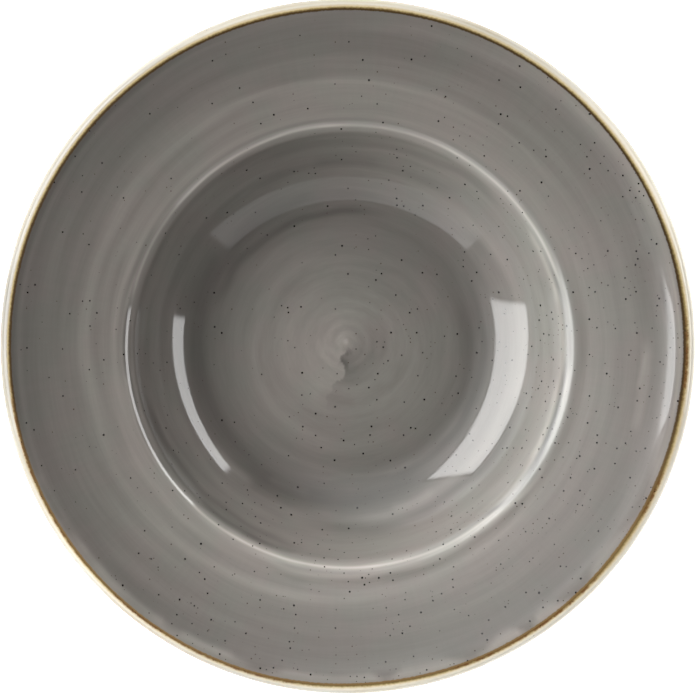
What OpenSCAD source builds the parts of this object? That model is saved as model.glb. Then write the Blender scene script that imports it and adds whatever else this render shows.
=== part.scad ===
// Rimmed soup plate in glazed stoneware.
// A turned clay body carries four fired coats: grey on the face, an iron brown
// line on the crown of the lip, cream over the edge and back, and cream inside
// the foot ring. The foot ring's own contact face stays bare.
// Origin: centre of the circle that the foot ring stands on, with +Z up.

/* [Plate] */
// Diameter over the glazed edge
plate_d = 280; // [250:1:320]
// Thickness of the rim and of the well's wall, glaze included
wall_t = 5.2; // [4.7:0.1:6.2]
// Thickness of the well's floor, glaze included
floor_t = 5.6; // [4.6:0.1:7]

/* [Well] */
// Diameter where the crease runs out into the rim
well_d = 183.8; // [160:0.2:200]
// Diameter of the flat floor
floor_d = 97.2; // [80:0.2:104]
// Depth from the rim's inner end to the floor
well_depth = 27.2; // [22:0.2:34]
// Rounding of the crease between wall and rim
crease_r = 8; // [6.4:0.1:12]

/* [Rim] */
// Rise of the rim towards its edge, in degrees
rim_slope = 9; // [5:0.5:12]
// Radius of the shallow upturn near the edge
upturn_r = 85; // [60:1:110]
// Steepest slope of the upturn, in degrees
lip_slope = 15; // [13:0.5:19]
// Radius of the lip's crown
lip_r = 26; // [20:0.5:34]
// Rounding from the crown down to the outermost edge
edge_r = 3.3; // [2.7:0.1:4]

/* [Foot] */
// Outer diameter of the foot ring where it meets the table
foot_d = 106; // [94:0.5:112]
// Width of the foot ring where it meets the table
foot_w = 5.5; // [4.2:0.1:8]
// Depth of the glazed recess inside the foot ring
recess_depth = 2.9; // [2.4:0.1:4]
// Draft of the foot ring's two sides, in degrees
foot_draft = 12; // [6:1:18]
// Rounding of the foot ring's two lower corners
foot_corner_r = 1.2; // [0.8:0.1:1.5]
// Fillet where the foot ring grows out of the body
foot_fillet_r = 1.5; // [1:0.1:1.9]
// Height of bare clay left above the table
bare_h = 1.4; // [1.2:0.1:1.7]

/* [Glaze] */
// Thickness of every coat
glaze_t = 0.5; // [0.3:0.05:0.6]
// Width of the brown line on the inner side of the crown
line_in_w = 1.2; // [0.6:0.1:2]
// Width of the brown line on the outer side of the crown
line_out_w = 0.8; // [0.4:0.1:1.6]

/* [Hidden] */

// Largest turn between two neighbouring points of an arc, in degrees
arc_step = 3;
// Sides of the turned shapes
round_fn = 180;
// Points closer than this are one point
same_point = 0.0001;

plate_r = plate_d / 2;
well_r = well_d / 2;
floor_r = floor_d / 2;
foot_r = foot_d / 2;

// Every outline point is a station: a point of the clay's surface and the
// direction that faces out of the clay there. A direction is an angle from
// straight up, growing towards the plate's edge: 0 faces up, 90 out, 180 down.
function way(a) = [sin(a), cos(a)];

// Stations along an arc. A positive r bulges out of the clay, a negative r
// curves into it, and both run from direction a0 to direction a1.
function arc(centre, r, a0, a1) =
    let (steps = max(2, ceil(abs(a1 - a0) / arc_step)))
    [for (i = [0 : steps])
        let (a = a0 + (a1 - a0) * i / steps)
        [centre + r * way(a), way(a)]];

function apart(stations) =
    [for (i = [0 : len(stations) - 1])
        if (i == 0 || norm(stations[i][0] - stations[i - 1][0]) > same_point)
            stations[i]];

function clay_points(stations) = [for (s = stations) s[0]];
function glaze_points(stations) = [for (s = stations) s[0] + glaze_t * s[1]];
function backwards(points) = [for (i = [len(points) - 1 : -1 : 0]) points[i]];

// Heights above the table
floor_z = recess_depth + floor_t;
well_top_z = floor_z + well_depth;
recess_clay_z = recess_depth + glaze_t;

// Crease: centre of the rounding between wall and rim
crease_c = [well_r, well_top_z] - crease_r * way(-rim_slope);

// Wall: the arc that leaves the floor level and runs tangent into the crease
wall_reach = crease_c[0] - floor_r;
wall_rise = crease_c[1] - floor_z;
wall_r = (pow(wall_reach, 2) + pow(wall_rise, 2) - pow(crease_r, 2)) / (2 * (crease_r + wall_rise));
wall_c = [floor_r, floor_z + wall_r];
wall_slope = asin(wall_reach / (wall_r + crease_r));

// Rim: straight cone, shallow upturn, crown of the lip
crown_x = plate_r - edge_r;
upturn_x = crown_x - (lip_r + upturn_r) * sin(lip_slope) + upturn_r * sin(rim_slope);
upturn_z = well_top_z + (upturn_x - well_r) * tan(rim_slope);
upturn_c = [upturn_x, upturn_z] + upturn_r * way(-rim_slope);
lip_c = upturn_c - (upturn_r + lip_r) * way(-lip_slope);
plate_h = lip_c[1] + lip_r;

// Edge: rounded over from the crown and back under the rim
under_edge_r = wall_t - edge_r;
edge_c = [crown_x, plate_h - edge_r];
under_edge_c = [plate_r - under_edge_r, plate_h - edge_r];

// The brown line's two borders, as directions on the crown
line_in_a = -asin(line_in_w / lip_r);
line_out_a = asin(line_out_w / edge_r);

// Depth of the back's clay under the finished face
back_depth = wall_t - glaze_t;
back_wall_r = wall_r + back_depth;

// Foot ring: the directions of its two drafted sides, and the way up each
outer_side_a = 90 + foot_draft;
inner_side_a = 270 - foot_draft;
up_outer = way(foot_draft);
up_inner = way(-foot_draft);
outer_base = [foot_r, 0];
inner_base = [foot_r - foot_w, 0];
corner_rise = foot_corner_r * (1 - sin(foot_draft)) / cos(foot_draft);
outer_corner_c = outer_base + corner_rise * up_outer - foot_corner_r * way(outer_side_a);
inner_corner_c = inner_base + corner_rise * up_inner - foot_corner_r * way(inner_side_a);

// Outer fillet: touches the foot's outer side and the back of the wall
fillet_from = outer_base + foot_fillet_r * way(outer_side_a) - wall_c;
fillet_along = fillet_from * up_outer;
fillet_rise = -fillet_along
    - sqrt(pow(fillet_along, 2) - fillet_from * fillet_from + pow(back_wall_r + foot_fillet_r, 2));
outer_fillet_c = wall_c + fillet_from + fillet_rise * up_outer;
outer_fillet_a = 180 - asin((outer_fillet_c[0] - wall_c[0]) / (back_wall_r + foot_fillet_r));

// Inner fillet: touches the foot's inner side and the top of the recess
inner_fillet_rise =
    (recess_clay_z - foot_fillet_r * (1 - sin(foot_draft))) / cos(foot_draft);
inner_fillet_c = inner_base + inner_fillet_rise * up_inner + foot_fillet_r * way(inner_side_a);

// Stations of each coat, from the face's centre round to the back's centre
face_stations = apart(concat(
    [[[0, floor_z - glaze_t], way(0)]],
    arc(wall_c, -(wall_r + glaze_t), 0, -wall_slope),
    arc(crease_c, crease_r - glaze_t, -wall_slope, -rim_slope),
    arc(upturn_c, -(upturn_r + glaze_t), -rim_slope, -lip_slope),
    arc(lip_c, lip_r - glaze_t, -lip_slope, line_in_a)));

line_stations = apart(concat(
    arc(lip_c, lip_r - glaze_t, line_in_a, 0),
    arc(edge_c, edge_r - glaze_t, 0, line_out_a)));

back_stations = apart(concat(
    arc(edge_c, edge_r - glaze_t, line_out_a, 90),
    arc(under_edge_c, under_edge_r - glaze_t, 90, 180),
    arc(lip_c, -(lip_r - back_depth), 180, 180 - lip_slope),
    arc(upturn_c, upturn_r + back_depth, 180 - lip_slope, 180 - rim_slope),
    arc(crease_c, -(crease_r - back_depth), 180 - rim_slope, 180 - wall_slope),
    arc(wall_c, back_wall_r, 180 - wall_slope, outer_fillet_a),
    arc(outer_fillet_c, -foot_fillet_r, outer_fillet_a, outer_side_a),
    [[outer_base + bare_h / cos(foot_draft) * up_outer, way(outer_side_a)]]));

bare_stations = apart(concat(
    arc(outer_corner_c, foot_corner_r, outer_side_a, 180),
    arc(inner_corner_c, foot_corner_r, 180, inner_side_a)));

recess_stations = apart(concat(
    [[inner_base + bare_h / cos(foot_draft) * up_inner, way(inner_side_a)]],
    arc(inner_fillet_c, -foot_fillet_r, inner_side_a, 180),
    [[[0, recess_clay_z], way(180)]]));

all_stations = apart(concat(
    face_stations, line_stations, back_stations, bare_stations, recess_stations));

// Turns an outline of radius and height round the plate's axis
module turned(points) {
    rotate_extrude($fn = round_fn)
        polygon(points);
}

// One coat of glaze, lying on the clay along its stations
module coat(stations) {
    turned(concat(glaze_points(stations), backwards(clay_points(stations))));
}

// Fired clay: rim, well, floor and foot ring in one piece
module clay_body() {
    color("#e6dccb") turned(clay_points(all_stations));
}

// Grey coat over the rim, the well's wall and its floor
module face_glaze() {
    color("#7d7874") coat(face_stations);
}

// Iron brown line where the grey breaks over the lip's crown
module rim_line() {
    color("#8f6226") coat(line_stations);
}

// Cream coat round the outer edge, under the rim and down to the foot ring
module edge_and_back_glaze() {
    color("#eee4cd") coat(back_stations);
}

// Cream coat on the disc inside the foot ring
module recess_glaze() {
    color("#eee4cd") coat(recess_stations);
}

clay_body();
face_glaze();
rim_line();
edge_and_back_glaze();
recess_glaze();
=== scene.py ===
# Finish of the rimmed soup plate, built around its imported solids, in their own frame: the
# origin is under the plate's centre, with +Z up. Lengths of shapes are in metres. Materials
# work in millimetres, and places read off the photograph are in its pixels and degrees.
import math
from functools import reduce

import bmesh
import bpy
import numpy as np
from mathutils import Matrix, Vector


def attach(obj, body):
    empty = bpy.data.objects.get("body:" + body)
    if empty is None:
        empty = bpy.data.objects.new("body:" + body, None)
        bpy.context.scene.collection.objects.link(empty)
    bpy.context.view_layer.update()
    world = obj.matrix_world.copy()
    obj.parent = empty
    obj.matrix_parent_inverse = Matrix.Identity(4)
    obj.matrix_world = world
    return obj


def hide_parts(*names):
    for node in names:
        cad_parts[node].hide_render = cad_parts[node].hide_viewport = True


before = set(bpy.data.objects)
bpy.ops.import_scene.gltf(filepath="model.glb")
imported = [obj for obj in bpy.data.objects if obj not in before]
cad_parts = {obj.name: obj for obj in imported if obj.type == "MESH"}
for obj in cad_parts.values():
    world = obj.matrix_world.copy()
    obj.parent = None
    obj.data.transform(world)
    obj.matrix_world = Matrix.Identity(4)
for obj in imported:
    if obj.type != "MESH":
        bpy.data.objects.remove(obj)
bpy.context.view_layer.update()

MM = 0.001

# The plate's own sizes, as its solids have them
PLATE_R = 140 * MM
WALL_T = 5.2 * MM
FLOOR_T = 5.6 * MM
WELL_R = 91.9 * MM
FLOOR_R = 48.6 * MM
WELL_DEPTH = 27.2 * MM
CREASE_R = 8 * MM
RIM_SLOPE = 9
UPTURN_R = 85 * MM
LIP_SLOPE = 15
LIP_R = 26 * MM
EDGE_R = 3.3 * MM
FOOT_R = 53 * MM
FOOT_W = 5.5 * MM
RECESS_DEPTH = 2.9 * MM
FOOT_DRAFT = 12
FOOT_FILLET_R = 1.5 * MM
BARE_H = 1.4 * MM
GLAZE_T = 0.5 * MM
LINE_IN_W = 1.2 * MM
LINE_OUT_W = 0.8 * MM

# Grid of the modelled coats: turns round the plate, steps along its outline, how many times
# longer the steps are on the hidden inner side, and how near two points are one
TURNS = 400
FINE_STEP = 0.85 * MM
CREASE_STEP = 0.5 * MM
EDGE_STEP = 0.4 * MM
BACK_STEP = 0.9 * MM
INNER_COARSER = 4
SAME_POINT = MM / 1000

# Camera, straight above, with the photograph's pixels
FRAME_PX = 696
OUTLINE_R_PX = 347.5
CENTRE_PX = (347.7, 345.9)
FRAME_CENTRE_PX = (348.0, 346.5)
PX = PLATE_R / OUTLINE_R_PX
CAMERA_Z = 1.8
SENSOR_MM = 36
CLIP_END = 20


def way(a):
    """Direction a degrees from straight up towards the plate's edge, as (radius, height)."""
    return np.stack([np.sin(np.radians(a)), np.cos(np.radians(a))], -1)


def cosd(a):
    return math.cos(math.radians(a))


def sind(a):
    return math.sin(math.radians(a))


class Path:
    """A run of stations along the plate's outline: points and the directions they face."""

    def __init__(self):
        self.points, self.facing = [], []

    def arc(self, centre, r, first, last, step):
        """Positive r bulges outwards and negative r curves inwards, from facing first to last."""
        steps = max(2, math.ceil(abs(r) * math.radians(abs(last - first)) / step))
        facing = np.linspace(first, last, steps + 1)
        return self.add(np.asarray(centre) + r * way(facing), facing)

    def line(self, end, facing, step):
        """Straight on to end."""
        start = self.points[-1]
        steps = max(1, math.ceil(np.linalg.norm(end - start) / step))
        share = np.linspace(0, 1, steps + 1)[:, None]
        return self.add(start + share * (np.asarray(end) - start), np.full(steps + 1, facing))

    def add(self, points, facing):
        """Adds points with the directions that they face, but for those on the last point."""
        for point, a in zip(points, facing):
            if not self.points or np.linalg.norm(point - self.points[-1]) > SAME_POINT:
                self.points.append(np.asarray(point, float))
                self.facing.append(float(a))
        return self

    def arrays(self):
        """Points, the unit vectors that they face along, and their distances along the path."""
        points = np.array(self.points)
        steps = np.linalg.norm(np.diff(points, axis=0), axis=1)
        return points, way(np.array(self.facing)), np.concatenate([[0], np.cumsum(steps)])


# Heights, and the centres of the outline's arcs
floor_z = RECESS_DEPTH + FLOOR_T
well_top_z = floor_z + WELL_DEPTH
crease_c = np.array([WELL_R, well_top_z]) - CREASE_R * way(-RIM_SLOPE)
reach, rise = crease_c - [FLOOR_R, floor_z]
wall_r = (reach**2 + rise**2 - CREASE_R**2) / (2 * (CREASE_R + rise))
wall_c = np.array([FLOOR_R, floor_z + wall_r])
wall_slope = math.degrees(math.asin(reach / (wall_r + CREASE_R)))
crown_x = PLATE_R - EDGE_R
upturn_x = crown_x - (LIP_R + UPTURN_R) * sind(LIP_SLOPE) + UPTURN_R * sind(RIM_SLOPE)
upturn_z = well_top_z + (upturn_x - WELL_R) * math.tan(math.radians(RIM_SLOPE))
upturn_c = np.array([upturn_x, upturn_z]) + UPTURN_R * way(-RIM_SLOPE)
lip_c = upturn_c - (UPTURN_R + LIP_R) * way(-LIP_SLOPE)
plate_h = lip_c[1] + LIP_R
under_edge_r = WALL_T - EDGE_R
edge_c = np.array([crown_x, plate_h - EDGE_R])
under_edge_c = np.array([PLATE_R - under_edge_r, plate_h - EDGE_R])
line_in_a = -math.degrees(math.asin(LINE_IN_W / LIP_R))
line_out_a = math.degrees(math.asin(LINE_OUT_W / EDGE_R))

# The foot ring: its drafted sides and the fillets at their tops
outer_side_a = 90 + FOOT_DRAFT
inner_side_a = 270 - FOOT_DRAFT
outer_base = np.array([FOOT_R, 0])
inner_base = np.array([FOOT_R - FOOT_W, 0])
back_wall_r = wall_r + WALL_T - GLAZE_T
fillet_from = outer_base + FOOT_FILLET_R * way(outer_side_a) - wall_c
fillet_along = fillet_from @ way(FOOT_DRAFT)
fillet_rise = -fillet_along - math.sqrt(
    fillet_along**2 - fillet_from @ fillet_from + (back_wall_r + FOOT_FILLET_R) ** 2
)
outer_fillet_c = wall_c + fillet_from + fillet_rise * way(FOOT_DRAFT)
outer_fillet_a = 180 - math.degrees(
    math.asin((outer_fillet_c[0] - wall_c[0]) / (back_wall_r + FOOT_FILLET_R))
)
recess_clay_z = RECESS_DEPTH + GLAZE_T
inner_fillet_rise = (recess_clay_z - FOOT_FILLET_R * (1 - sind(FOOT_DRAFT))) / cosd(FOOT_DRAFT)
inner_fillet_c = (
    inner_base + inner_fillet_rise * way(-FOOT_DRAFT) + FOOT_FILLET_R * way(inner_side_a)
)


def face_path(depth=0.0, step=1.0):
    """The face from its centre to the brown line, depth under the finished surface."""
    return (
        Path()
        .add([[0, floor_z - depth]], [0])
        .line(np.array([FLOOR_R, floor_z - depth]), 0, FINE_STEP * step)
        .arc(wall_c, -(wall_r + depth), 0, -wall_slope, FINE_STEP * step)
        .arc(crease_c, CREASE_R - depth, -wall_slope, -RIM_SLOPE, CREASE_STEP * step)
        .line(upturn_c - (UPTURN_R + depth) * way(-RIM_SLOPE), -RIM_SLOPE, FINE_STEP * step)
        .arc(upturn_c, -(UPTURN_R + depth), -RIM_SLOPE, -LIP_SLOPE, FINE_STEP * step)
        .arc(lip_c, LIP_R - depth, -LIP_SLOPE, line_in_a, EDGE_STEP * step)
    )


def line_path(depth=0.0):
    """The brown line over the lip's crown."""
    return (
        Path()
        .arc(lip_c, LIP_R - depth, line_in_a, 0, EDGE_STEP / 2)
        .arc(edge_c, EDGE_R - depth, 0, line_out_a, EDGE_STEP / 2)
    )


def back_path(depth=0.0, step=1.0):
    """The cream coat from the brown line round the edge and under the rim to the foot ring."""
    bare_top = outer_base + BARE_H / cosd(FOOT_DRAFT) * way(FOOT_DRAFT)
    under_lip, under_rim, under_wall = 180 - LIP_SLOPE, 180 - RIM_SLOPE, 180 - wall_slope
    crease_r = WALL_T - CREASE_R - depth
    fillet_r = GLAZE_T - FOOT_FILLET_R - depth
    edge_step, back_step = EDGE_STEP * step, BACK_STEP * step
    return (
        Path()
        .arc(edge_c, EDGE_R - depth, line_out_a, 90, edge_step)
        .arc(under_edge_c, under_edge_r - depth, 90, 180, edge_step)
        .arc(lip_c, WALL_T - LIP_R - depth, 180, under_lip, back_step)
        .arc(upturn_c, UPTURN_R + WALL_T - depth, under_lip, under_rim, back_step)
        .line(crease_c + crease_r * way(under_rim), under_rim, back_step)
        .arc(crease_c, crease_r, under_rim, under_wall, edge_step)
        .arc(wall_c, wall_r + WALL_T - depth, under_wall, outer_fillet_a, back_step)
        .arc(outer_fillet_c, fillet_r, outer_fillet_a, outer_side_a, edge_step / 2)
        .line(bare_top + (GLAZE_T - depth) * way(outer_side_a), outer_side_a, edge_step / 2)
    )


def recess_path(depth=0.0, step=1.0):
    """The cream coat inside the foot ring, from its centre out and down the ring's inner side."""
    bare_top = inner_base + BARE_H / cosd(FOOT_DRAFT) * way(-FOOT_DRAFT)
    fillet_r = GLAZE_T - FOOT_FILLET_R - depth
    return (
        Path()
        .add([[0, RECESS_DEPTH + depth]], [180])
        .line(inner_fillet_c + fillet_r * way(180), 180, BACK_STEP * step)
        .arc(inner_fillet_c, fillet_r, 180, inner_side_a, EDGE_STEP * step / 2)
        .line(bare_top + (GLAZE_T - depth) * way(inner_side_a), inner_side_a, EDGE_STEP * step / 2)
    )


# Noises: cells along each side of their lattice, where in it ring and round noises start, and
# the radius within which ring noise closes up
LATTICE = 64
RING_FROM = (20, 20, 7)
ROUND_FROM = (30, 30, 3)
CLOSING_R = 6 * MM


def smooth_noise(x, y, z, seed):
    """Value noise from -1 to 1 on a lattice of unit cells, with no seam."""
    lattice = np.random.default_rng(seed).uniform(-1, 1, (LATTICE, LATTICE, LATTICE))
    base = [np.floor(v).astype(int) for v in (x, y, z)]
    part = [v - b for v, b in zip((x, y, z), base)]
    part = [t * t * t * (t * (6 * t - 15) + 10) for t in part]
    total = 0
    for corner in np.ndindex(2, 2, 2):
        weight = 1
        for share, far in zip(part, corner):
            weight = weight * (share if far else 1 - share)
        cell = tuple((b + far) % LATTICE for b, far in zip(base, corner))
        total = total + weight * lattice[cell]
    return total


def ring_noise(theta, along, arcs, pitch, seed):
    """Noise drawn out round the plate, as a brush leaves it: arcs cells to the radius, pitch
    between rings."""
    arcs = arcs * along / (along + CLOSING_R)
    x, y, z = RING_FROM
    return smooth_noise(arcs * np.cos(theta) + x, arcs * np.sin(theta) + y, along / pitch + z, seed)


def round_noise(theta, cells, seed):
    """Noise from -1 to 1 round the plate only, with cells to the radius."""
    x, y, z = ROUND_FROM
    return smooth_noise(cells * np.cos(theta) + x, cells * np.sin(theta) + y, 0 * theta + z, seed)


def step_between(x, low, high):
    """0 below low, 1 above high, and a soft rise between them."""
    share = np.clip((x - low) / (high - low), 0, 1)
    return share * share * (3 - 2 * share)


def hump(x, centre, half_width):
    """1 at the centre, falling softly to 0 at half_width on both sides."""
    return 1 - step_between(np.abs(x - centre), 0, half_width)


def turned_by(theta, azimuth):
    """Angle in degrees, from -180 to 180, by which a place lies past an azimuth of the
    photograph. There azimuths run clockwise from the right."""
    return (-np.degrees(theta) - azimuth + 180) % 360 - 180


def cos_to(theta, azimuth):
    """Cosine of the angle between a place and an azimuth of the photograph."""
    return np.cos(np.radians(turned_by(theta, azimuth)))


# Bands in the grey coat, brush bands and, from the wall outwards, painted light and shade as well:
# azimuths and radii at both ends in the photograph's degrees and pixels, half width in pixels,
# and how much paler they are, or darker where that is below 0
BRUSH_AND_PAINTED_LIGHT_BANDS = (
    # Round the centre
    (230, 290, 5, 5, 6, 0.05),
    (40, 115, 6, 6, 6, -0.17),
    (160, 330, 12, 16, 3, 0.05),
    (85, 122, 17, 17, 8, -0.2),
    (110, 290, 26, 22, 4, 0.07),
    (-160, -20, 36, 40, 3, -0.04),
    (-110, 0, 44, 50, 3, 0.05),
    # On the floor
    (35, 125, 58, 54, 14, -0.06),
    (10, 125, 57, 57, 14, -0.05),
    (80, 125, 57, 57, 14, -0.05),
    (-80, 20, 57, 63, 3, 0.06),
    (150, 260, 60, 66, 8, 0.06),
    (15, 75, 69, 62, 3, 0.07),
    (-60, 80, 66, 72, 6, 0.05),
    (60, 135, 72, 77, 6, -0.07),
    (140, 240, 83, 83, 14, -0.05),
    (200, 340, 84, 90, 7, -0.04),
    (90, 260, 100, 96, 8, 0.05),
    (150, 245, 107, 107, 14, -0.03),
    # On the wall, with painted light and shade
    (-25, 40, 120, 132, 14, -0.08),
    (85, 150, 126, 126, 6, 0.07),
    (20, 110, 133, 135, 4, 0.12),
    (-15, 60, 138, 138, 8, -0.06),
    (190, 290, 138, 138, 8, -0.22),
    (235, 280, 138, 138, 6, -0.08),
    (-40, 95, 138, 140, 9, -0.18),
    (8, 40, 155, 155, 6, 0.1),
    (103, 122, 155, 155, 8, 0.1),
    (215, 260, 155, 155, 8, -0.1),
    (50, 140, 152, 168, 18, -0.2),
    (190, 217, 160, 160, 14, -0.08),
    (58, 76, 170, 170, 8, 0.16),
    (60, 100, 170, 170, 8, -0.1),
    (122, 145, 170, 170, 8, 0.12),
    (124, 146, 170, 170, 8, 0.12),
    (235, 360, 170, 170, 10, -0.06),
    (315, 350, 170, 172, 10, -0.15),
    (10, 110, 180, 184, 12, -0.3),
    (10, 60, 183, 183, 8, -0.08),
    (10, 75, 182, 184, 8, -0.12),
    (105, 145, 183, 183, 8, -0.1),
    (145, 200, 183, 183, 8, 0.1),
    (235, 310, 187, 187, 9, -0.15),
    (258, 282, 187, 187, 9, -0.1),
    (235, 300, 195, 195, 8, -0.07),
    (145, 215, 195, 197, 10, 0.06),
    (60, 200, 196, 200, 9, -0.06),
    (-25, 15, 206, 207, 6, -0.12),
    (175, 240, 206, 208, 7, 0.14),
    (235, 325, 207, 207, 6, -0.16),
    (100, 170, 208, 208, 6, -0.24),
    # Over the crease: painted highlight, and painted shade that dims it
    (-60, 42, 214, 215, 5, 0.1),
    (105, 172, 214, 215, 5, -0.18),
    (103, 121, 215, 215, 4, -0.12),
    (326, 350, 215, 215, 4, 0.12),
    (8, 34, 216, 216, 4, 0.28),
    (12, 56, 216, 216, 4, 0.12),
    (325, 350, 216, 216, 4, 0.16),
    (104, 165, 217, 218, 4, -0.12),
    (-30, 45, 220, 221, 5, -0.6),
    (38, 84, 221, 221, 4, -0.16),
    (215, 275, 221, 221, 3, 0.22),
    (138, 198, 221, 222, 4, -0.25),
    (-72, -12, 222, 222, 4, 0.24),
    (10, 55, 222, 222, 4, -0.26),
    (14, 56, 222, 222, 3, -0.1),
    (60, 150, 222, 222, 4, 0.16),
    (100, 125, 222, 222, 4, 0.16),
    (170, 192, 222, 222, 4, -0.2),
    (148, 198, 222, 223, 4, -0.24),
    (30, 120, 228, 228, 4, 0.08),
    (35, 76, 228, 228, 3, 0.28),
    (40, 145, 228, 228, 5, 0.08),
    (165, 215, 228, 228, 5, -0.1),
    (285, 350, 228, 228, 5, -0.05),
    (165, 300, 228, 229, 5, -0.16),
    (-5, 135, 227, 231, 5, 0.28),
    (34, 56, 229, 229, 4, 0.12),
    # On the rim, with a painted reflection spot at the photograph's right
    (-20, 60, 232, 234, 8, -0.1),
    (60, 110, 236, 240, 6, -0.06),
    (170, 205, 237, 240, 8, -0.1),
    (-10, 55, 239, 239, 8, -0.04),
    (78, 102, 239, 239, 8, 0.07),
    (170, 255, 239, 239, 8, -0.06),
    (100, 160, 238, 242, 8, 0.12),
    (150, 190, 246, 250, 10, -0.1),
    (15, 150, 233, 264, 11, 0.16),
    (-10, 50, 256, 256, 8, -0.05),
    (95, 150, 254, 258, 8, 0.08),
    (170, 262, 255, 257, 8, -0.1),
    (120, 310, 261, 268, 8, 0.1),
    (130, 155, 264, 266, 12, 0.05),
    (230, 330, 268, 262, 4, 0.12),
    (105, 150, 270, 280, 12, 0.1),
    (0, 45, 277, 277, 10, -0.05),
    (175, 235, 277, 277, 10, -0.04),
    (-40, 100, 281, 292, 14, 0.04),
    (150, 250, 282, 300, 24, -0.06),
    (1, 9, 295, 295, 4, 0.2),
    (170, 260, 292, 300, 12, -0.04),
    (-6, 24, 296, 298, 16, 0.06),
    (-2, 18, 297, 300, 8, 0.34),
    (105, 145, 295, 315, 14, 0.1),
    # On the lip, with painted reflections and painted shade that dims the glint
    (8, 36, 315, 315, 5, -0.08),
    (325, 350, 315, 315, 5, -0.05),
    (25, 80, 312, 325, 10, -0.18),
    (262, 330, 318, 328, 10, 0.12),
    (-14, 16, 321, 327, 5, -0.42),
    (-17, 17, 331, 333, 3.5, 0.4),
)

# Tone of the grey coat from the plate's centre outwards: darker in the well, where it lies thick
# and with painted shade, and paler over the crease, where it runs thin and with a painted
# highlight. Radius in millimetres, then tone.
COAT_TONES = (
    (16, 0.885),
    (34, 0.76),
    (55, 0.59),
    (60, 0.58),
    (74, 0.98),
    (78, 1.00),
    (83.5, 1.12),
    (85.4, 1.15),
    (87.6, 1.36),
    (88.3, 1.42),
    (89.1, 1.95),
    (90.2, 1.32),
    (92.0, 1.03),
    (103, 0.97),
    (111, 0.825),
    (120, 0.755),
    (127.5, 0.71),
    (131, 0.735),
    (134, 0.79),
)

# How much further in the crease's pale line, thin coat and painted highlight, lies at the
# photograph's bottom, and where the rim starts
CREST_SHIFT = 0.5 * MM
RIM_FROM = (90 * MM, 98 * MM)

# The dark middle of the brown line: its smallest radius, and how much further out it runs on
# some sides. A side is an azimuth in the photograph's degrees, the two cosines of the angle to
# it over which the change sets in, and the change, here in millimetres.
LINE_R = 135.52 * MM
LINE_SIDES = (
    (130, -0.4, 0.3, 0.28),
    (130, 0.68, 0.96, 0.8),
    (60, 0.5, 0.9, 0.2),
)

# Inner border of the pale strip on the lip, in pixels on one side of the plate and the other,
# and the mounds of darker coat that reach into it: azimuth, half width in degrees, top in pixels
PALE_FROM = (317, 331)
MOUNDS = (
    (-32, 20, 322),
    (28.5, 8.8, 334),
    (46.5, 5.5, 337),
    (57.2, 2.6, 336.5),
    (68, 5.5, 334.5),
    (83.3, 3, 334),
    (95, 12, 327),
    (106, 7, 333),
    (122, 4, 332),
    (150, 16, 334),
)

# The spiral that the wheel left round a small nub, and the edge where the brush was lifted
NUB = (-1.0 * MM, 1.8 * MM)
NUB_R = 1.9 * MM
SWIRL_PITCH = 4.6 * MM
SWIRL_R = 30 * MM
LIFT_AZIMUTH = 97
LIFT_SOFT = 0.5 * MM

# Relief: the fuller crease, and the lip's dip and steeper climb at the photograph's right, where
# each climb is a slope gained between two radii
CREST_FULLER = 0.20 * MM
LIP_DIP = 0.32 * MM
LIP_CLIMBS = ((0.115, 124.8 * MM, 131.0 * MM), (0.045, 129.6 * MM, 132.4 * MM))
LIP_TOP_R = 132.4 * MM

# How far a coat sinks at its rounded end, over how long, and the pitch of the recess's spiral
END_SINK = 0.33 * MM
END_W = 1.1 * MM
RECESS_PITCH = 4.2 * MM


def from_nub(r, theta):
    """Distance and direction from the nub."""
    x, y = r * np.cos(theta) - NUB[0], r * np.sin(theta) - NUB[1]
    return np.hypot(x, y), np.arctan2(y, x)


def swirl(out, heading, start):
    """The wheel's spiral round the nub, from -1 to 1, dying out from start to SWIRL_R."""
    turns = out / SWIRL_PITCH + heading / (2 * np.pi)
    return np.cos(2 * np.pi * turns) * (1 - step_between(out, start, SWIRL_R))


def past_lift(r, theta):
    """Degrees past the edge of the last brush stroke, 0 to 360, the distance past it, and
    whether that edge is on this side of the centre."""
    bend = 14 * step_between(r, 11 * MM, 18 * MM) + 30 * hump(r, 5.2 * MM, 3.4 * MM)
    bend = bend + 3 * round_noise(r / (2.2 * MM), cells=2, seed=31)
    past = turned_by(theta, LIFT_AZIMUTH) - bend
    degrees = past % 360
    return degrees, r * np.sin(np.radians(past)), (degrees < 90) | (degrees > 270)


def centre_tone(r, theta):
    """The last stroke is pale where it starts and thins out round the centre."""
    degrees, distance, near_edge = past_lift(r, theta)
    fading = 0.5 - degrees / 360
    edge = 2 * step_between(distance, -LIFT_SOFT, LIFT_SOFT) - 1
    stroke = np.where(near_edge & (np.abs(distance) < LIFT_SOFT), edge * np.abs(fading), fading)
    reach = 0.56 - 0.40 * step_between(r, 8 * MM, 20 * MM) - 0.16 * step_between(r, 18 * MM, 32 * MM)
    out, heading = from_nub(r, theta)
    broken = 0.5 + 0.5 * ring_noise(theta, r, arcs=2.0, pitch=4 * MM, seed=33)
    spiral = 0.07 * swirl(out, heading, 4 * MM) * broken
    nub = 0.30 * (1 - step_between(out, 0.4 * MM, NUB_R))
    halo = 0.12 * (1 - step_between(out, NUB_R, 2.6 * NUB_R))
    return stroke * reach * step_between(r, 1.2 * MM, 3.5 * MM) + spiral + nub + halo


def brush_and_painted_light_bands(r, theta):
    """How much paler the brush bands and the painted light and shade make the coat, or darker where it is
    below 0.
    """
    total = 0
    for start, end, r_start, r_end, half_width, strength in BRUSH_AND_PAINTED_LIGHT_BANDS:
        middle, half_arc = (start + end) / 2, (end - start) / 2
        past = turned_by(theta, middle)
        centre = (r_start + r_end) / 2 + past / half_arc * (r_end - r_start) / 2
        wander = 2.5 * round_noise(theta, cells=5, seed=40 + start % 7)
        ends = 1 - step_between(np.abs(past), 0.6 * half_arc, half_arc)
        total = total + strength * ends * hump(r / PX, centre + wander, half_width)
    return total


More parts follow.
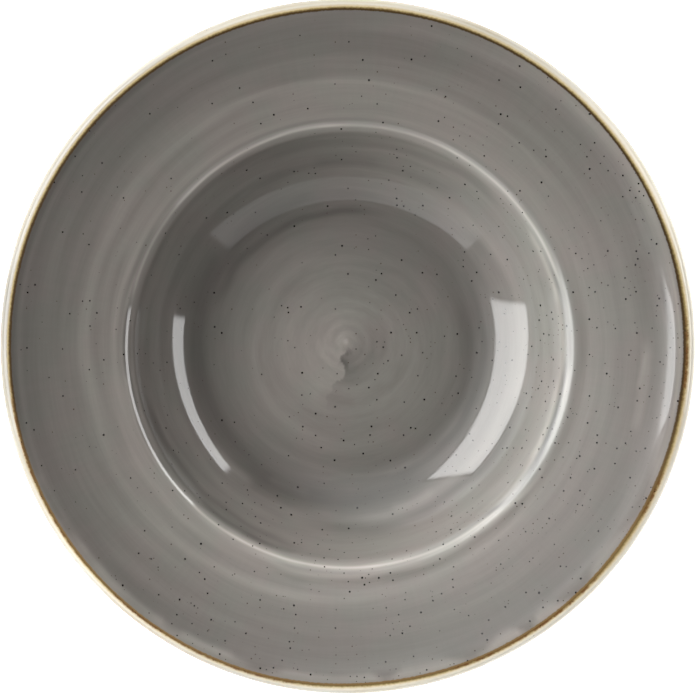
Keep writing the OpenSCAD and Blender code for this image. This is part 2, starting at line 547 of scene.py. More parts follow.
def mean_tone(r, theta):
    """The coat's tone by its radius, with painted shade in the well and a painted highlight on the
    crease.
    """
    at_bottom = 1 - step_between(np.abs(turned_by(theta, 85)), 60, 95)
    read_at = r - CREST_SHIFT * at_bottom * hump(r, 89.5 * MM, 6 * MM)
    tone = COAT_TONES[0][1] + 0 * r
    for (r0, t0), (r1, t1) in zip(COAT_TONES, COAT_TONES[1:]):
        tone = tone + (t1 - t0) * step_between(read_at, r0 * MM, r1 * MM)
    return tone


def painted_side_light(r, theta):
    """Painted light and shade: how much paler each zone of the coat is towards one side of the
    photograph.
    """
    floor = step_between(r, 6 * MM, 25 * MM) * (1 - step_between(r, 55 * MM, 66 * MM))
    wall = step_between(r, 66 * MM, 72 * MM) * (1 - step_between(r, 86 * MM, 92 * MM))
    rim = step_between(r, *RIM_FROM)
    lip = step_between(r, 122 * MM, 132 * MM)
    wall_foot = hump(r, 63 * MM, 12 * MM)
    crease = hump(r, 89.8 * MM, 3 * MM)
    zones = (
        (floor, 128, 0.09),
        (wall, 15, 0.18),
        (rim, 38, 0.15),
        (lip, 10, 0.10),
        (wall_foot, -10, 0.25),
        (crease, 70, 0.16),
    )
    total = sum(strength * zone * cos_to(theta, azimuth) for zone, azimuth, strength in zones)
    line = line_radius(theta)
    # Painted shade on the photograph's left, beside the brown line
    painted_shade_by_line = step_between(r, line - 4 * MM, line - 1 * MM)
    return total - 0.28 * painted_shade_by_line * step_between(cos_to(theta, 175), 0.0, 0.6)


def streaks(r, along, theta):
    """Streaks round the plate, narrow and broad, with broken ones on the rim."""
    broad = 0.06 * ring_noise(theta, along, arcs=1.2, pitch=7 * MM, seed=21)
    narrow = 0.03 * ring_noise(theta, along, arcs=2.4, pitch=3 * MM, seed=22)
    broken = 0.035 * ring_noise(theta, along, arcs=3.6, pitch=13 * MM, seed=28)
    return broad + narrow + broken * step_between(r, *RIM_FROM)


def coat_tone(r, along, theta):
    """How pale the grey coat is, 1 being its usual tone, painted light and shade included."""
    change = painted_side_light(r, theta) + streaks(r, along, theta) + brush_and_painted_light_bands(r, theta)
    change = change + centre_tone(r, theta) + pale_lip(r, theta)
    return mean_tone(r, theta) * (1 + change)


def line_radius(theta):
    """Radius of the brown line's dark middle."""
    further = sum(
        change * step_between(cos_to(theta, azimuth), low, high)
        for azimuth, low, high, change in LINE_SIDES
    )
    return LINE_R + further * MM


def pale_border(theta):
    """Radius outside which the grey coat runs thin and pale on the lip, as far as the line."""
    px = PALE_FROM[0] + (PALE_FROM[1] - PALE_FROM[0]) * step_between(turned_by(theta, 60), -10, 100)
    for azimuth, half_width, top in MOUNDS:
        aside = np.clip(turned_by(theta, azimuth) / (1.4 * half_width), -1, 1)
        px = np.maximum(px, PALE_FROM[0] + (top - PALE_FROM[0]) * (1 - aside**2) ** 2)
    ragged = 1.5 * round_noise(theta, cells=9, seed=14) + 0.8 * round_noise(theta, cells=30, seed=15)
    return (px + ragged) * PX


def pale_lip(r, theta):
    """How much paler the grey coat is between its scalloped border and the brown line."""
    border = pale_border(theta)
    side = turned_by(theta, 60)
    strength = 0.34 * step_between(side, -130, -90) + 0.17 * step_between(side, -50, -38)
    strength = strength * (1 - step_between(side, 80, 115))
    outwards = 0.15 + 1.1 * step_between(r, 321 * PX, 333 * PX)
    smoke = 1 + 0.3 * ring_noise(theta, r, arcs=7, pitch=4 * MM, seed=29)
    return strength * smoke * outwards * step_between(r, border - 1.6 * MM, border + 3.2 * MM)


def at_glint(theta):
    """1 where the lip stays steep further out, on the photograph's right."""
    return np.clip(1 - (turned_by(theta, 1.5) / 18.5) ** 4, 0, 1)


def climb(x, low, high):
    """Height gained by a slope that grows from 0 to 1 between low and high."""
    share = np.clip((x - low) / (high - low), 0, 1)
    return (high - low) * (share**3 - share**4 / 2) + np.maximum(x - high, 0)


def lip_relief(r, theta):
    """The lip dips and then climbs steeply on the photograph's right."""
    top = LIP_TOP_R - 0.9 * MM * (1 - at_glint(theta))
    reach = np.minimum(r, top)
    height = sum(slope * climb(reach, low, high) for slope, low, high in LIP_CLIMBS)
    height = height - LIP_DIP * step_between(r, 112 * MM, 124.5 * MM)
    return height * (1 - step_between(r, top, 135.4 * MM)) * at_glint(theta)


def crest_relief(r, theta):
    """The crease is fuller outwards, most at the photograph's lower right, not at its top."""
    share = 1 - step_between(np.abs(turned_by(theta, 87)), 112, 140)
    share = share + 0.6 * (1 - step_between(np.abs(turned_by(theta, 60)), 75, 110))
    fuller = step_between(r, 88.4 * MM, 92.3 * MM) - step_between(r, 92.3 * MM, 98 * MM)
    return CREST_FULLER * share * fuller


def centre_relief(r, theta):
    """The nub, the wheel's spiral and the raised edge of the last brush stroke."""
    out, heading = from_nub(r, theta)
    spiral = 0.015 * MM * swirl(out, heading, 6 * MM)
    nub = 0.10 * MM * (1 - step_between(out, 0.2 * MM, NUB_R))
    _, distance, near_edge = past_lift(r, theta)
    edge = 0.04 * MM * hump(distance, 0.4 * MM, 1.2 * MM) * near_edge
    return spiral + nub + edge * step_between(r, 3 * MM, 5 * MM) * (1 - step_between(r, 12 * MM, 24 * MM))


def face_relief(r, along, theta):
    """Height of the brushed grey coat over its mean surface."""
    rings = 0.012 * MM * ring_noise(theta, along, arcs=1.6, pitch=5 * MM, seed=11)
    swell = 0.05 * MM * ring_noise(theta, along, arcs=1.1, pitch=24 * MM, seed=13)
    middle = step_between(along, 3 * MM, 20 * MM) * (1 - step_between(r, 126 * MM, 134 * MM))
    bumps = lip_relief(r, theta) + crest_relief(r, theta) + centre_relief(r, theta)
    return (rings + swell) * middle + bumps


def line_relief(r, along, theta):
    """The brown line follows the lip."""
    return lip_relief(r, theta)


def line_tone(r, along, theta):
    """The grey coat's tone, with its painted light and shade, carried on over the brown line."""
    return coat_tone(r, along + face_path().arrays()[2][-1], theta)


def turning_rings(theta, along, seed):
    """Low rings that turning left in the clay under a cream coat."""
    return 0.03 * MM * ring_noise(theta, along, arcs=1.5, pitch=6 * MM, seed=seed)


def rounded_end(along):
    """How far a coat sinks at its rounded end on the foot."""
    last = along[-1:, :]
    return END_SINK * step_between(along, last - END_W, last) ** 2


def back_relief(r, along, theta):
    """Low turning rings and runs under the rim, and the coat's rounded end at the foot."""
    runs = 0.04 * MM * round_noise(theta, cells=9, seed=18) * hump(along, 12 * MM, 9 * MM)
    clear = step_between(along, 2.5 * MM, 8 * MM)
    lip = lip_relief(r, theta) * (1 - step_between(along, 1 * MM, 2 * MM))
    return (turning_rings(theta, along, seed=17) + runs) * clear + lip - rounded_end(along)


def recess_relief(r, along, theta):
    """A turned disc with the wheel's spiral, and the coat's rounded end at the foot."""
    turns = r / RECESS_PITCH - theta / (2 * np.pi)
    spiral = 0.05 * MM * np.cos(2 * np.pi * turns) * step_between(r, MM, 5 * MM)
    spiral = spiral * (1 - step_between(r, 30 * MM, 44 * MM))
    rings = turning_rings(theta, along, seed=19) * step_between(along, 3 * MM, 12 * MM)
    return spiral + rings - rounded_end(along)


def grid_faces(rows, on_axis):
    """Faces of a tube of rows of TURNS points, closed on itself, or on the axis at both ends."""
    turn = np.arange(TURNS)
    next_turn = (turn + 1) % TURNS
    row = np.arange(rows - 1 if on_axis else rows)[:, None]
    start, end = row * TURNS, (row + 1) % rows * TURNS
    quads = np.stack([start + turn, end + turn, end + next_turn, start + next_turn], -1).reshape(-1, 4)
    if not on_axis:
        return quads.tolist()
    last = (rows - 1) * TURNS
    first_fan = [(0, TURNS + int(j), TURNS + int(k)) for j, k in zip(turn, next_turn)]
    last_fan = [(last - TURNS + int(j), last, last - TURNS + int(k)) for j, k in zip(turn, next_turn)]
    return first_fan + quads[TURNS:-TURNS].tolist() + last_fan


def placed(name, data):
    """A new object in the scene."""
    thing = bpy.data.objects.new(name, data)
    bpy.context.scene.collection.objects.link(thing)
    return thing


def revolved(name, outer, inner, height, tone=None):
    """A closed coat between the outer path, raised by height(r, along, theta), and the inner
    path. Its points carry tone(r, along, theta), where that is given."""
    points, outward, lengths = outer.arrays()
    inner_points = inner.arrays()[0][::-1]
    angles = np.arange(TURNS) * 2 * np.pi / TURNS
    along, theta = np.meshgrid(lengths, angles, indexing="ij")
    radius = points[:, :1] + 0 * along
    lift = height(radius, along, theta)
    outer_rz = [points[:, i : i + 1] + lift * outward[:, i : i + 1] for i in (0, 1)]
    inner_rz = [np.repeat(inner_points[:, i : i + 1], TURNS, 1) for i in (0, 1)]
    r, z = (np.concatenate(pair) for pair in zip(outer_rz, inner_rz))
    places = np.stack([r * np.cos(angles), r * np.sin(angles), z], -1).reshape(-1, 3)
    mesh = bpy.data.meshes.new(name)
    mesh.from_pydata(places.tolist(), [], grid_faces(len(r), points[0, 0] < SAME_POINT))
    if tone:
        tones = np.ones((len(r), TURNS))
        tones[: len(points)] = tone(radius, along, theta)
        layer = mesh.attributes.new("tone", "FLOAT", "POINT")
        layer.data.foreach_set("value", tones.reshape(-1).astype(np.float32))
    clean_up(mesh)
    return placed(name, mesh)


# Edges that turn by more than this are shaded as edges
SHARP = math.radians(40)


def clean_up(mesh):
    """Removes the points that no face uses, turns the faces outwards and shades them smooth,
    but for the ends, where one coat meets the next."""
    work = bmesh.new()
    work.from_mesh(mesh)
    bmesh.ops.delete(work, geom=[v for v in work.verts if not v.link_faces], context="VERTS")
    bmesh.ops.recalc_face_normals(work, faces=work.faces)
    for face in work.faces:
        face.smooth = True
    for edge in work.edges:
        edge.smooth = edge.calc_face_angle(0.0) < SHARP
    work.to_mesh(mesh)
    work.free()


# In the materials: the width over which a speck's rim fades and the radius within which streaks
# close up, both in millimetres, the span of a noise that mixes two colours, and the glaze's
# refractive index
SPECK_BLUR = 0.1
STREAKS_CLOSE = 5.0
CLOUD_SPAN = (0.35, 0.65)
GLAZE_IOR = 1.52


class Tree:
    """Shorthand for building the nodes of a material or of the world."""

    def __init__(self, owner):
        owner.use_nodes = True
        self.owner = owner
        self.nodes = owner.node_tree.nodes
        self.links = owner.node_tree.links
        self.shader = self.nodes.get("Principled BSDF")

    def put(self, socket, value):
        """Links a socket to another node's output, or sets it to a constant."""
        if isinstance(value, bpy.types.NodeSocket):
            self.links.new(value, socket)
        else:
            socket.default_value = value

    def node(self, kind, inputs, **settings):
        """A new node, with inputs by name or number."""
        node = self.nodes.new("ShaderNode" + kind)
        for key, value in settings.items():
            setattr(node, key, value)
        for key, value in inputs.items():
            self.put(node.inputs[key], value)
        return node

    def new(self, kind, *inputs, out=0, **settings):
        """One output of a new node, with inputs in their order."""
        return self.node(kind, dict(enumerate(inputs)), **settings).outputs[out]

    def finish(self, colour, roughness):
        """Puts both on the shader and returns the material."""
        self.put(self.shader.inputs["Base Color"], colour)
        self.put(self.shader.inputs["Roughness"], roughness)
        return self.owner

    def math(self, operation, *inputs):
        return self.new("Math", *inputs, operation=operation)

    def add(self, *values):
        return reduce(lambda a, b: self.math("ADD", a, b), values)

    def times(self, *values):
        return reduce(lambda a, b: self.math("MULTIPLY", a, b), values)

    def vector(self, operation, *inputs, out=0):
        return self.new("VectorMath", *inputs, operation=operation, out=out)

    def spread(self, value):
        """One number as all three parts of a vector."""
        return self.new("CombineXYZ", value, value, value)

    def between(self, value, low, high, start=0.0, end=1.0):
        """value taken from low..high to start..end, with soft ends."""
        return self.new("MapRange", value, low, high, start, end, interpolation_type="SMOOTHSTEP")

    def within(self, value, rise, fall, most=1.0):
        """most past the span rise and before the span fall, softly down to 0 outside them."""
        return self.times(self.between(value, *rise), self.between(value, *fall, most, 0.0))

    def noise(self, place, scale, detail=2.0, roughness=0.5):
        inputs = {"Vector": place, "Scale": scale, "Detail": detail, "Roughness": roughness}
        return self.node("TexNoise", inputs).outputs["Fac"]

    def clouds(self, scale, detail, roughness=0.5):
        """Share from 0 to 1 that drifts over the plate, to mix two colours by."""
        return self.between(self.noise(self.place, scale, detail, roughness), *CLOUD_SPAN)

    def mix(self, share, a, b, blend="MIX"):
        inputs = {0: share, 6: a, 7: b}
        return self.node("Mix", inputs, data_type="RGBA", blend_type=blend).outputs[2]

    def shaded(self, colour, factor):
        """A colour times a number."""
        return self.mix(1.0, colour, self.spread(factor), "MULTIPLY")

    def ramp(self, value, stops):
        """Colours at places, with straight runs between them."""
        low, high = stops[0][0], stops[-1][0]
        node = self.node("ValToRGB", {0: self.new("MapRange", value, low, high, 0.0, 1.0)})
        points = node.color_ramp.elements
        while len(points) < len(stops):
            points.new(0.5)
        for point, (place, colour) in zip(points, stops):
            point.position = (place - low) / (high - low)
            point.color = colour
        return node.outputs[0]

    def bump(self, height, distance, strength=1.0):
        node = self.node("Bump", {"Strength": strength, "Distance": distance, "Height": height})
        self.put(self.shader.inputs["Normal"], node.outputs[0])

    def polar(self):
        """Adds the place in millimetres, the distance from the plate's axis, the direction from
        it, and round, which is that direction but dies out at the axis."""
        place = {0: self.new("TexCoord", out=3), "Scale": 1 / MM}
        self.place = self.node("VectorMath", place, operation="SCALE").outputs[0]
        flat = self.vector("MULTIPLY", self.place, (1, 1, 0))
        self.radius = self.vector("LENGTH", flat, out=1)
        closing = self.spread(self.math("ADD", self.radius, STREAKS_CLOSE))
        self.round = self.vector("DIVIDE", flat, closing)
        self.heading = self.vector("NORMALIZE", flat)
        return self

    def facing(self, azimuth):
        """Cosine of the angle between a place's direction and an azimuth of the photograph."""
        return self.vector("DOT_PRODUCT", self.heading, (cosd(azimuth), -sind(azimuth), 0), out=1)

    def side(self, azimuth, low, high, change):
        """A change that sets in softly as facing(azimuth) rises from low to high."""
        return self.between(self.facing(azimuth), low, high, 0.0, change)

    def sides(self, base, rows):
        """base, with the changes that rows of sides make to it."""
        return self.add(base, *(self.side(*row) for row in rows))

    def streaks(self, arcs, pitch, detail=2.0, roughness=0.5, wobble=0.0):
        """Noise drawn out round the plate: arcs to the radius, pitch in millimetres between rings."""
        radius = self.radius
        if wobble:
            shift = self.math("MULTIPLY", self.noise(self.place, 0.02), wobble)
            radius = self.math("ADD", radius, shift)
        high = self.new("CombineXYZ", 0.0, 0.0, self.math("DIVIDE", radius, pitch))
        place = self.vector("ADD", self.vector("MULTIPLY", self.round, (arcs,) * 3), high)
        return self.noise(place, 1.0, detail, roughness)

    def specks(self, size, smallest, spread, share):
        """Round dots from smallest to size millimetres wide, in cells spread millimetres wide,
        share of them filled."""
        inputs = {"Vector": self.place, "Scale": 1 / spread, "Randomness": 1.0}
        cells = self.node("TexVoronoi", inputs).outputs
        drawn = self.new("SeparateColor", cells["Color"]).node.outputs
        there = self.math("LESS_THAN", drawn[0], share)
        half = self.new("MapRange", drawn[1], 0.0, 1.0, smallest / 2 / spread, size / 2 / spread)
        inside = self.math("SUBTRACT", half, cells["Distance"])
        return self.times(self.between(inside, 0.0, SPECK_BLUR / spread), there)


def new_material(name):
    """The tree of a new material."""
    return Tree(bpy.data.materials.new(name))


def rgb(*parts):
    """An sRGB colour of 0 to 255 as a linear RGBA value."""
    shares = [part / 255 for part in parts]
    return (*(s / 12.92 if s <= 0.04045 else ((s + 0.055) / 1.055) ** 2.4 for s in shares), 1.0)


GREY = rgb(112, 108, 104)
GREY_WARM = rgb(115, 108, 103)
GREY_GREEN = rgb(110, 109, 102)
LESS_RED = (0.96, 1.0, 1.0, 1.0)
SPECK_DARK = rgb(20, 16, 14)
SPECK_BROWN = rgb(52, 38, 28)
LINE_DARK = rgb(58, 44, 26)
LINE_BROWN = rgb(122, 98, 62)
OCHRE = rgb(100, 84, 52)
GOLD = rgb(146, 130, 88)
RUST = rgb(92, 59, 30)
CREAM_WARM = rgb(196, 178, 142)
CREAM = rgb(220, 212, 192)
CREAM_PALE = rgb(226, 221, 208)
CLAY_PALE = rgb(212, 196, 168)
CLAY_WARM = rgb(196, 176, 145)
CLAY_GRAIN = rgb(160, 132, 100)

# The border's colours from the brown line's dark middle outwards, in millimetres
BORDER = (
    (-0.3, LINE_DARK),
    (0.2, LINE_DARK),
    (0.5, OCHRE),
    (0.9, GOLD),
    (1.3, CREAM_WARM),
    (1.95, CREAM),
    (2.7, CREAM_PALE),
)

# How far the brown line wanders, slowly and in fine wobbles, in millimetres
LINE_WANDER = 0.15
LINE_WOBBLE = 0.6

# Stretches of the border where rust shows: azimuth and half width in the photograph's degrees
RUST_ARCS = ((2, 7), (26, 4), (52, 11), (68, 4), (110, 12), (128, 6), (157, 16))

# Painted light and shade: sides on which the cream coat is darker or paler, and those that
# change only its outermost part
CREAM_PAINTED_LIGHT = (
    (240, -0.15, 0.75, -0.40),
    (180, 0.955, 0.995, -0.12),
    (195, 0.55, 0.97, -0.24),
    (295, 0.85, 0.97, 0.07),
    (315, 0.85, 0.95, -0.07),
    (135, 0.7, 0.95, -0.15),
    (0, 0.9, 0.98, -0.15),
)
OUTERMOST_PAINTED_LIGHT = (
    (175, -0.2, 0.5, -0.2),
    (200, 0.6, 0.95, 0.5),
    (60, 0.5, 0.8, -0.1),
    (0, 0.86, 0.97, 0.15),
)

# The grey coat's greatest roughness
MOST_ROUGH = 0.26


def past_line(t):
    """Distance outwards from the brown line's dark middle, which wanders a little. The border
    is narrower at the photograph's lower left and wider at its right."""
    slow = t.math("SUBTRACT", t.noise(t.vector("MULTIPLY", t.heading, (9, 9, 9)), 1.0), 0.5)
    quick = t.math("SUBTRACT", t.noise(t.place, 0.9), 0.5)
    line = t.sides(LINE_R / MM, LINE_SIDES)
    radius = t.add(t.radius, t.times(slow, LINE_WANDER), t.times(quick, LINE_WOBBLE))
    narrower = t.between(t.facing(140), 0.5, 0.95, 1.0, 1.2)
    wider = t.between(t.facing(14), 0.78, 0.95, 1.0, 0.78)
    return t.times(t.math("SUBTRACT", radius, line), narrower, wider)


def cream_with_painted_light(t, colour):
    """A colour of the cream coat, with painted light and shade by sides."""
    return t.shaded(colour, t.sides(1.0, CREAM_PAINTED_LIGHT))


def rusty(t):
    """1 on the stretches of the border where rust shows."""
    arcs = (
        t.side(azimuth, cosd(half_width * 1.3), cosd(half_width * 0.5), 1.0)
        for azimuth, half_width in RUST_ARCS
    )
    return t.math("MINIMUM", 1.0, t.add(*arcs))


def border_colour(t, past):
    """Dark line, ochre, gold and cream, past the line's middle, the cream with painted light and shade.
    """
    colour = t.ramp(past, BORDER)
    colour = t.mix(t.between(past, 0.8, 1.8), colour, cream_with_painted_light(t, colour))
    at_bottom = t.times(t.side(90, 0.1, 0.6, 1.0), t.between(past, 0.1, 0.6, 1.0, 0.0))
    colour = t.mix(t.times(at_bottom, 0.8), colour, LINE_BROWN)
    rust = t.times(rusty(t), t.within(past, (0.1, 0.5), (0.9, 1.6)))
    ragged = t.between(t.noise(t.place, 0.35, 3.0, 0.6), 0.3, 0.6)
    colour = t.mix(t.times(rust, ragged, 0.85), colour, RUST)
    grains = t.specks(0.7, 0.2, spread=0.9, share=0.4)
    return t.mix(t.times(grains, rust), colour, LINE_DARK)


def coat_colour(t, bands, fine):
    """Grey with faint clouds and streaks, less red on the wall's right and on the crease."""
    fibres = t.streaks(60.0, 24.0, detail=3.0, roughness=0.6)
    shade = t.add(
        t.between(bands, 0.3, 0.7, -0.03, 0.03),
        t.between(fine, 0.3, 0.7, -0.02, 0.02),
        t.times(t.between(fibres, 0.3, 0.7, -0.012, 0.012), t.between(t.radius, 92.0, 100.0)),
        1.0,
    )
    clouded = t.mix(t.clouds(0.045, 3.0, 0.6), GREY_WARM, GREY_GREEN)
    # The points' tone carries painted light and shade as well as the coat's own tone
    tone = t.new("Attribute", out=2, attribute_name="tone")
    colour = t.shaded(t.mix(0.45, GREY, clouded), t.times(tone, shade))
    wall = t.within(t.radius, (73.0, 77.0), (91.0, 94.0))
    colour = t.mix(t.times(wall, t.side(0, 0.2, 0.8, 0.8)), colour, LESS_RED, "MULTIPLY")
    crease = t.within(t.radius, (86.5, 88.5), (91.0, 93.0), 0.4)
    return t.mix(crease, colour, LESS_RED, "MULTIPLY")


def coat_specks(t, colour):
    """Iron specks, most crowded at the photograph's lower right and fewer in the middle."""
    busy = t.between(t.facing(37), -0.8, 0.9, 0.28, 0.8)
    busy = t.times(busy, t.between(t.radius, 40.0, 75.0, 0.72, 1.0))
    large = t.specks(1.0, 0.38, spread=2.75, share=busy)
    small = t.specks(0.7, 0.3, spread=1.7, share=t.times(busy, 0.32))
    colour = t.mix(t.times(small, 0.85), colour, SPECK_BROWN)
    return t.mix(large, colour, SPECK_DARK)


def coat_roughness(t, bands):
    """Glossy, but duller where the coat runs thin: at the wall's top, the crease and the lip."""
    wall_top = t.within(t.radius, (72.0, 82.0), (83.5, 88.0), 0.15)
    crease = t.within(t.radius, (85.5, 88.0), (91.0, 93.5))
    lip = t.within(t.radius, (125.0, 127.0), (129.5, 131.5), 0.11)
    rough = t.between(bands, 0.3, 0.7, 0.04, 0.08)
    rough = t.add(rough, wall_top, t.times(crease, t.side(45, 0.1, 0.5, 0.15)), lip)
    return t.math("MINIMUM", rough, MOST_ROUGH)


def coat_glaze(name):
    """The grey coat, which turns to the border's colours at the brown line."""
    t = new_material(name).polar()
    bands = t.streaks(2.2, 3.0, detail=3.0, roughness=0.6, wobble=4.0)
    fine = t.streaks(5.0, 0.8, detail=2.0, roughness=0.6, wobble=3.0)
    colour = coat_specks(t, coat_colour(t, bands, fine))
    past = past_line(t)
    colour = t.mix(t.between(past, -0.74, -0.22), colour, border_colour(t, past))
    t.bump(t.add(fine, bands), 0.006 * MM)
    t.put(t.shader.inputs["IOR"], GLAZE_IOR)
    return t.finish(colour, coat_roughness(t, bands))


def cream_colour(t, streak):
    """Cream with clouds, streaks and sparse specks."""
    colour = t.mix(t.clouds(0.05, 3.0), CREAM, CREAM_PALE)
    colour = t.mix(t.between(streak, 0.4, 0.75, 0.0, 0.4), colour, CREAM_WARM)
    small = t.specks(0.5, 0.2, spread=2.6, share=0.3)
    colour = t.mix(t.times(small, 0.7), colour, SPECK_BROWN)
    return t.mix(t.specks(0.9, 0.3, spread=4.6, share=0.4), colour, SPECK_DARK)


def cream_glaze():
    """The cream coat, golden where it thins at the foot, with painted light and shade by sides at the
    edge.
    """
    t = new_material("cream_glaze").polar()
    streak = t.streaks(3.0, 4.0, detail=3.0)
    height = t.new("SeparateXYZ", t.place, out=2)
    foot = t.times(t.between(height, 1.2, 2.6, 1.0, 0.0), t.between(t.radius, 60.0, 62.0, 1.0, 0.0))
    colour = t.mix(t.times(foot, 0.6), cream_colour(t, streak), GOLD)
    # Painted light and shade by sides at the edge, and more on its outermost part
    edge = t.times(t.between(height, 36.0, 39.0), t.between(t.radius, 136.0, 137.0))
    colour = t.mix(edge, colour, cream_with_painted_light(t, colour))
    outermost = t.shaded(colour, t.sides(1.0, OUTERMOST_PAINTED_LIGHT))
    colour = t.mix(t.between(t.radius, 138.0, 139.2), colour, outermost)
    past = past_line(t)
    lip = t.times(t.between(past, 2.0, 3.0, 1.0, 0.0), t.between(height, 38.5, 40.5))
    colour = t.mix(lip, colour, border_colour(t, past))
    t.put(t.shader.inputs["IOR"], GLAZE_IOR)
    return t.finish(colour, t.between(streak, 0.3, 0.7, 0.08, 0.16))


def bare_clay():
    """Sandy fired clay with fine grains."""
    t = new_material("bare_clay").polar()
    grain = t.noise(t.place, 2.2, 4.0, 0.7)
    colour = t.mix(t.clouds(0.15, 2.0), CLAY_PALE, CLAY_WARM)
    colour = t.mix(t.between(grain, 0.55, 0.75, 0.0, 0.5), colour, CLAY_GRAIN)
    colour = t.mix(t.specks(0.5, 0.15, spread=1.6, share=0.4), colour, SPECK_BROWN)
    t.bump(grain, 0.12 * MM, 0.8)
    return t.finish(colour, t.between(grain, 0.3, 0.7, 0.75, 0.95))


# Distances of the panels that light the plate and of those that show in its glaze, the cells
# along a panel's side, and half the floor's side
LIGHT_DISTANCE = 1.3
SHINE_DISTANCE = 1.32
CELLS = 12
FLOOR_HALF = 4.0


def direction(azimuth, zenith):
    """Unit vector at azimuth degrees from +X towards +Y, zenith degrees from straight up."""
    return Vector((sind(zenith) * cosd(azimuth), sind(zenith) * sind(azimuth), cosd(zenith)))


def panel_mesh(name, corners, distance, sag):
    """A curved panel that fills four corner directions, seen from the plate. Its edge from the
    last corner to the first hangs lower in the middle, by sag."""
    ways = [direction(*corner) for corner in corners]
    points, places = [], []
    for i in range(CELLS + 1):
        for j in range(CELLS + 1):
            u, v = i / CELLS, j / CELLS
            first, last = ways[0] * (1 - u) + ways[1] * u, ways[3] * (1 - u) + ways[2] * u
            at = first * (1 - v) + last * v
            at.z -= sag * 4 * v * (1 - v) * (1 - u)
            points.append(at.normalized() * distance)
            places.append((u, v))
    row = CELLS + 1
    faces = [
        (i * row + j, (i + 1) * row + j, (i + 1) * row + j + 1, i * row + j + 1)
        for i in range(CELLS)
        for j in range(CELLS)
    ]
    mesh = bpy.data.meshes.new(name)
    mesh.from_pydata(points, [], faces)
    layer = mesh.uv_layers.new(name="panel")
    for loop in mesh.loops:
        layer.data[loop.index].uv = places[loop.vertex_index]
    return mesh


def glow(name, radiance, soft, ends, fade):
    """Emission that fades out over the panel's four edges, soft of its size wide, across and
    along. Along the panel it changes by the factors ends, at the start, middle and end. Across
    it changes from 1 to the factors fade, the first at the panel's start, the other at its end."""
    t = new_material(name)
    split = t.new("SeparateXYZ", t.new("TexCoord", out=2)).node.outputs
    strength = radiance
    for side, width in zip(split, soft):
        near = t.math("MINIMUM", side, t.math("SUBTRACT", 1.0, side))
        strength = t.times(strength, t.between(near, 0.0, width))
    start, middle, end = ends
    along = t.add(
        t.new("MapRange", split[1], 0.0, 0.5, start, middle),
        t.new("MapRange", split[1], 0.5, 1.0, 0.0, end - middle),
    )
    change = t.new("MapRange", split[1], 0.0, 1.0, *(factor - 1 for factor in fade))
    across = t.add(1.0, t.times(change, split[0]))
    light = t.node("Emission", {"Strength": t.times(strength, along, across)})
    t.put(t.nodes["Material Output"].inputs["Surface"], light.outputs[0])
    return t.owner


def softbox(name, corners, light, shine, ends=(1, 1, 1), soft=(0.08, 0.05), fade=(1, 1), sag=0):
    """A glowing panel, hidden from the camera. light is how brightly it lights the plate, and
    shine how brightly it shows in the glaze."""
    parts = (("light", light, LIGHT_DISTANCE), ("shine", shine, SHINE_DISTANCE))
    for part, radiance, distance in parts:
        if not radiance:
            continue
        mesh = panel_mesh(f"{name}_{part}", corners, distance, sag)
        mesh.materials.append(glow(f"{name}_{part}", radiance, soft, ends, fade))
        panel = placed(f"{name}_{part}", mesh)
        panel.visible_camera = False
        panel.visible_shadow = False
        panel.visible_diffuse = part == "light"
        panel.visible_glossy = part == "shine"


def lit_floor():
    """A pale floor, lit from below as a light table is, more on the photograph's right."""
    half = FLOOR_HALF
    corners = [(-half, -half, 0), (half, -half, 0), (half, half, 0), (-half, half, 0)]
    mesh = bpy.data.meshes.new("floor")
    mesh.from_pydata(corners, [], [(0, 1, 2, 3)])
    t = new_material("floor")
    t.put(t.shader.inputs["Emission Color"], (1, 1, 1, 1))
    aside = t.vector("DOT_PRODUCT", t.new("TexCoord", out=3), (cosd(20), -sind(20), 0), out=1)
    t.put(t.shader.inputs["Emission Strength"], t.between(aside, -0.05, 0.2, 0.5, 1.3))
    mesh.materials.append(t.finish((0.9, 0.9, 0.9, 1), 0.9))
    placed("floor", mesh)


def surroundings():
    """Dim room, brighter on the side of the window and pale at the horizon."""
    world = bpy.data.worlds.new("studio")
    bpy.context.scene.world = world
    t = Tree(world)
    look = t.new("TexCoord", out=0)
    window = t.vector("DOT_PRODUCT", look, tuple(direction(135, 50)), out=1)
    side = t.vector("DOT_PRODUCT", look, tuple(direction(180, 85)), out=1)
    rise = t.new("SeparateXYZ", look, out=2)
    strength = t.add(
        t.between(window, 0.6, 0.98, 0.0, 2.0),
        t.between(side, 0.2, 0.95, 0.0, 0.85),
        t.between(rise, 0.0, 0.12, 0.8, 0.05),
    )
    t.put(t.nodes["Background"].inputs["Strength"], strength)
    t.put(t.nodes["Background"].inputs["Color"], (1, 1, 1, 1))


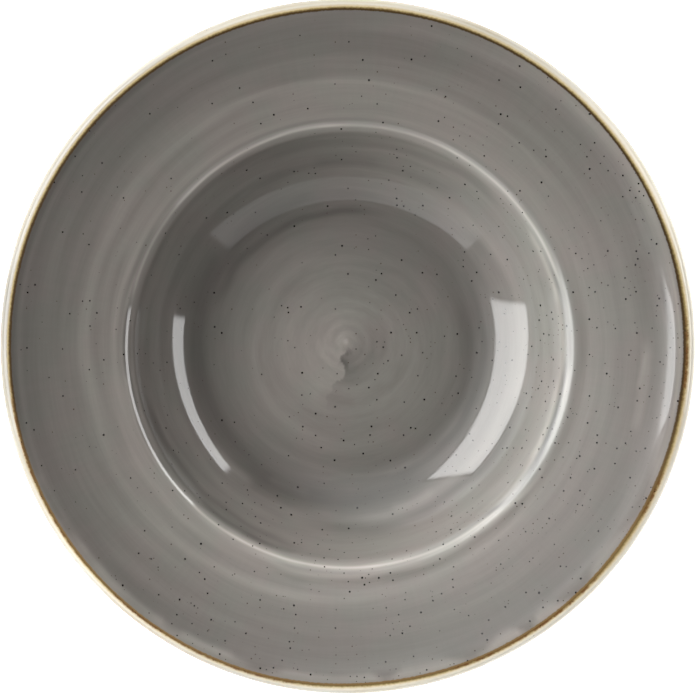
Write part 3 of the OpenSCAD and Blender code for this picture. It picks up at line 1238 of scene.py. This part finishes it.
def camera():
    """Straight above, with the plate's outline where the photograph has it."""
    eye = placed("camera", bpy.data.cameras.new("camera"))
    bpy.context.scene.camera = eye
    eye.location = (
        (FRAME_CENTRE_PX[0] - CENTRE_PX[0]) * PX,
        (CENTRE_PX[1] - FRAME_CENTRE_PX[1]) * PX,
        CAMERA_Z,
    )
    eye.data.sensor_fit = "HORIZONTAL"
    eye.data.sensor_width = SENSOR_MM
    eye.data.lens = SENSOR_MM * (CAMERA_Z - edge_c[1]) / (FRAME_PX * PX)
    eye.data.clip_end = CLIP_END


def studio():
    """Panels round the plate, the floor, the room and the camera."""
    left = [(201, 29.8), (194.5, 74.4), (133.5, 67.7), (118.5, 37)]
    softbox("left_softbox", left, light=6.8, shine=8.5, ends=(0.93, 1.08, 1.0))
    right = [(-11, 48.6), (-11, 64.2), (47, 64.2), (47, 54)]
    softbox("right_softbox", right, light=4.1, shine=7.2, ends=(0.92, 1.0, 1.08))
    front = [(-141, 33.5), (-141, 66), (-39, 66), (-39, 33.5)]
    softbox(
        "front_softbox", front, light=0.5, shine=1.0,
        ends=(2.8, 0.76, 1.0), soft=(0.02, 0.006), fade=(0.3, 1.15), sag=0.12,
    )
    for name, start, end in (("low_softbox_0", -125, -35), ("low_softbox_90", -35, 55)):
        low = [(start, 72), (start, 90), (end, 90), (end, 72)]
        softbox(name, low, light=0.8, shine=0.0, soft=(0.01, 0.01))
    lit_floor()
    surroundings()
    camera()
    bpy.context.scene.view_settings.view_transform = "Standard"


def dress(piece, node, material):
    """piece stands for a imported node, in the material of its slot."""
    piece.data.materials.append(material)
    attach(piece, "root")
    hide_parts(node)


studio()
cream = cream_glaze()
inside = (GLAZE_T, INNER_COARSER)
face = revolved("glazed_face", face_path(), face_path(*inside), face_relief, coat_tone)
dress(face, "face_glaze", coat_glaze("grey_glaze"))
border = revolved("brown_border", line_path(), line_path(GLAZE_T), line_relief, line_tone)
dress(border, "rim_line", coat_glaze("brown_glaze"))
back = revolved("cream_back", back_path(), back_path(*inside), back_relief)
dress(back, "edge_and_back_glaze", cream)
recess = revolved("cream_recess", recess_path(), recess_path(*inside), recess_relief)
dress(recess, "recess_glaze", cream)
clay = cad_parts["clay_body"].data
clay.materials.clear()
clay.materials.append(bare_clay())
